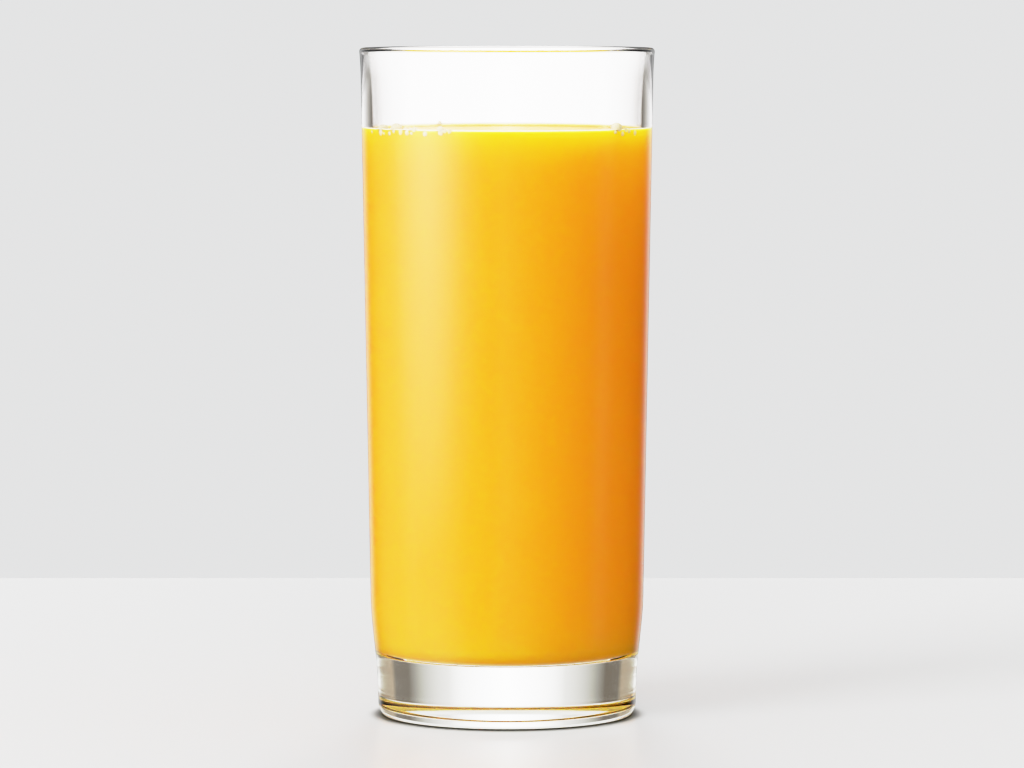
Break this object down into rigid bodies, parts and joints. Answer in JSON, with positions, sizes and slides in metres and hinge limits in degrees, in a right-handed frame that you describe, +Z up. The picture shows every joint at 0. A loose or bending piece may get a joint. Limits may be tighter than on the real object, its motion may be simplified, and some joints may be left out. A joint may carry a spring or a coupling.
{
  "type": "glass of orange juice",
  "caption": "Tall, slightly tapered drinking glass with a heavy clear base, filled with orange juice to a little below the rim.",
  "frame": {"origin": "on the glass's axis, in the plane of the ring that it stands on", "axes": "+Z up along the axis of the glass; the part is round, so X and Y are any two horizontal directions"},
  "size_m": [0.0662, 0.0662, 0.15],
  "materials": {
    "clear_glass": "clear soda-lime glass, smooth and polished, with a rounded lip",
    "juice": "opaque orange juice with fine pulp, wet and smooth where it lies against the glass"
  },
  "bodies": {
    "root": {"tumbler": "clear_glass", "orange_juice": "juice"}
  },
  "joints": []
}
